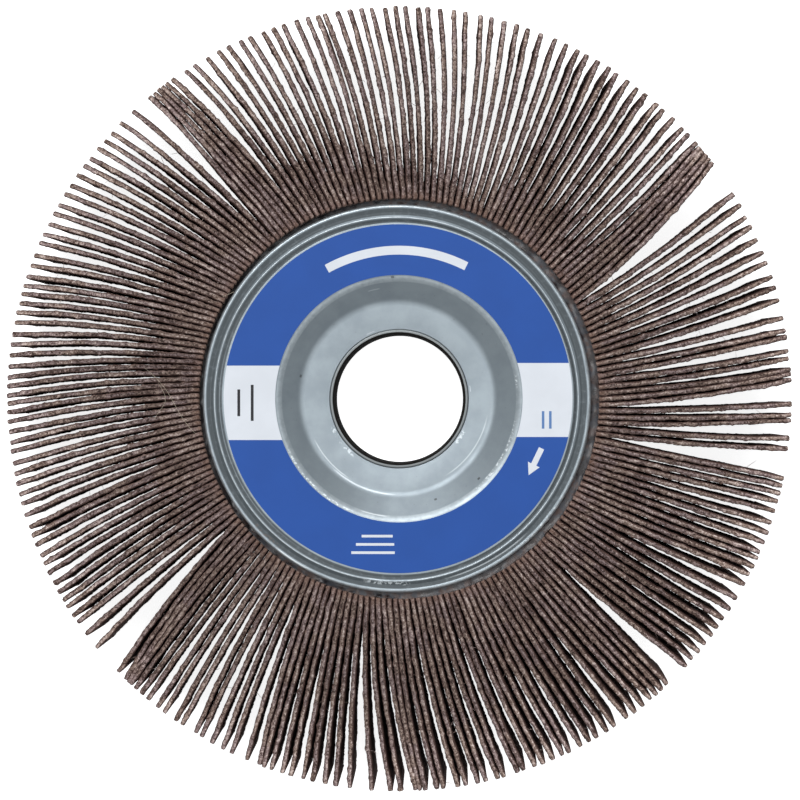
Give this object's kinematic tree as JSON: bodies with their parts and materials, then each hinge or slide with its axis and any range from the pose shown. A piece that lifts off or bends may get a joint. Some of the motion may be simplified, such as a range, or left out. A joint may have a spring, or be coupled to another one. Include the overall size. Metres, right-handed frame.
{
  "type": "flap wheel",
  "caption": "Unmounted flap wheel: a fan of abrasive cloth flaps locked between two dished steel flanges on a plain bore, to grind and blend metal on a spindle.",
  "frame": {"origin": "middle of the bore, on its axis, halfway through the wheel's width", "axes": "+Z along the bore out of the labelled side, +X and +Y in the wheel's plane, +X to the right and +Y up when the label is read from the front"},
  "size_m": [0.1524, 0.1524, 0.0254],
  "materials": {
    "abrasive_cloth": "coarse brown abrasive grain on resin-stiffened cloth, with dark rough faces",
    "flange_steel": "pressed sheet with a dull zinc plating",
    "sleeve_steel": "drawn tube, its end worn bright",
    "resin": "dark cast resin, glossy where it squeezed out",
    "label": "smooth coated paper, printed in blue with two white fields"
  },
  "bodies": {
    "root": {"arbor_sleeve": "sleeve_steel", "resin_core": "resin", "front_flange": "flange_steel", "rear_flange": "flange_steel", "front_label": "label", "flap_pack_01": "abrasive_cloth", "flap_pack_02": "abrasive_cloth", "flap_pack_03": "abrasive_cloth", "flap_pack_04": "abrasive_cloth", "flap_pack_05": "abrasive_cloth", "flap_pack_06": "abrasive_cloth", "flap_pack_07": "abrasive_cloth", "flap_pack_08": "abrasive_cloth", "flap_pack_09": "abrasive_cloth", "flap_pack_10": "abrasive_cloth", "flap_pack_11": "abrasive_cloth", "flap_pack_12": "abrasive_cloth", "flap_pack_13": "abrasive_cloth", "flap_pack_14": "abrasive_cloth", "flap_pack_15": "abrasive_cloth", "flap_pack_16": "abrasive_cloth", "flap_pack_17": "abrasive_cloth", "flap_pack_18": "abrasive_cloth", "flap_pack_19": "abrasive_cloth", "flap_pack_20": "abrasive_cloth", "flap_pack_21": "abrasive_cloth", "flap_pack_22": "abrasive_cloth"}
  },
  "joints": []
}
